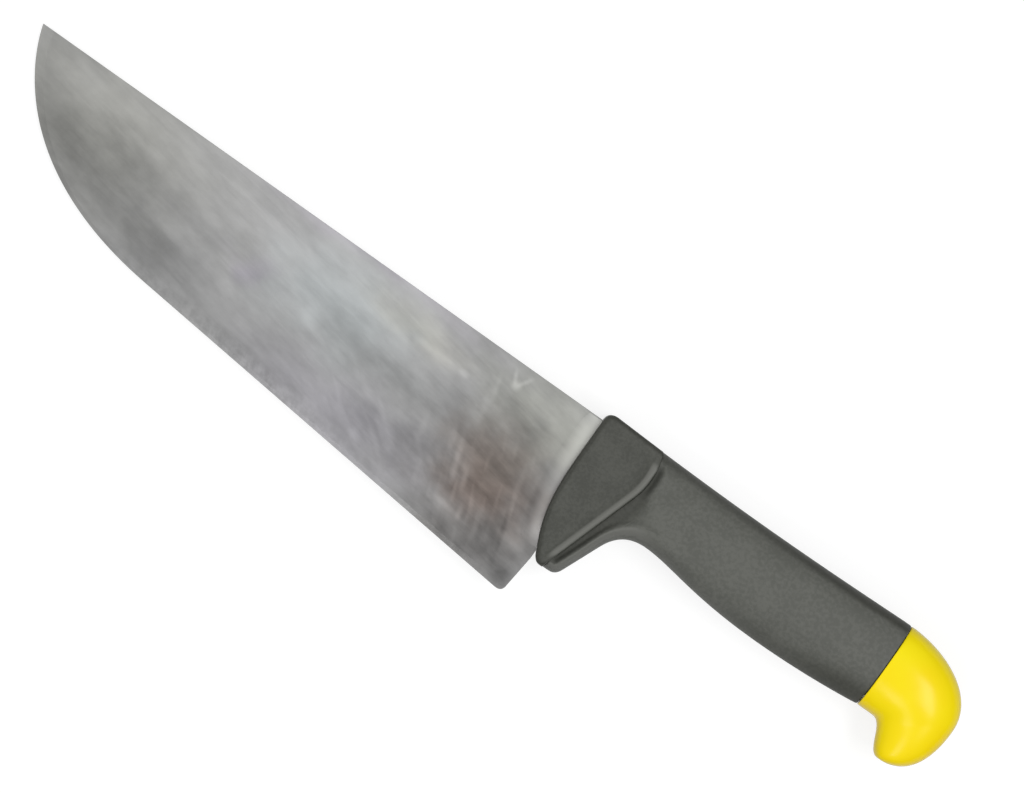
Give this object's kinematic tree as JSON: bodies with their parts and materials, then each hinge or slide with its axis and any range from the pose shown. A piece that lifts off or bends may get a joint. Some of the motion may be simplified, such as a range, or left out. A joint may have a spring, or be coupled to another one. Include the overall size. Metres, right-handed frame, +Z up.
{
  "type": "butcher knife",
  "caption": "Butcher knife with a wide straight-backed steel blade and rounded belly, a dark moulded grip with a deep finger guard, and a hooked yellow end cap.",
  "frame": {"origin": "middle of the underside of the knife's box, with the knife lying on its right side", "axes": "+X from the tip of the blade to the end cap, +Y from the cutting edge to the spine, +Z up through the flat of the blade"},
  "size_m": [0.3692, 0.067, 0.0228],
  "materials": {
    "blade_steel": "satin ground, lightly scratched",
    "bolster_plastic": "fine moulded grain",
    "core_plastic": "as moulded",
    "rivet_steel": "turned",
    "grip_elastomer": "fine moulded grain",
    "cap_plastic": "glossy"
  },
  "bodies": {
    "root": {"blade": "blade_steel", "bolster": "bolster_plastic", "core_left": "core_plastic", "core_right": "core_plastic", "rivet_front": "rivet_steel", "rivet_middle": "rivet_steel", "rivet_rear": "rivet_steel", "grip": "grip_elastomer", "end_cap": "cap_plastic"}
  },
  "joints": []
}
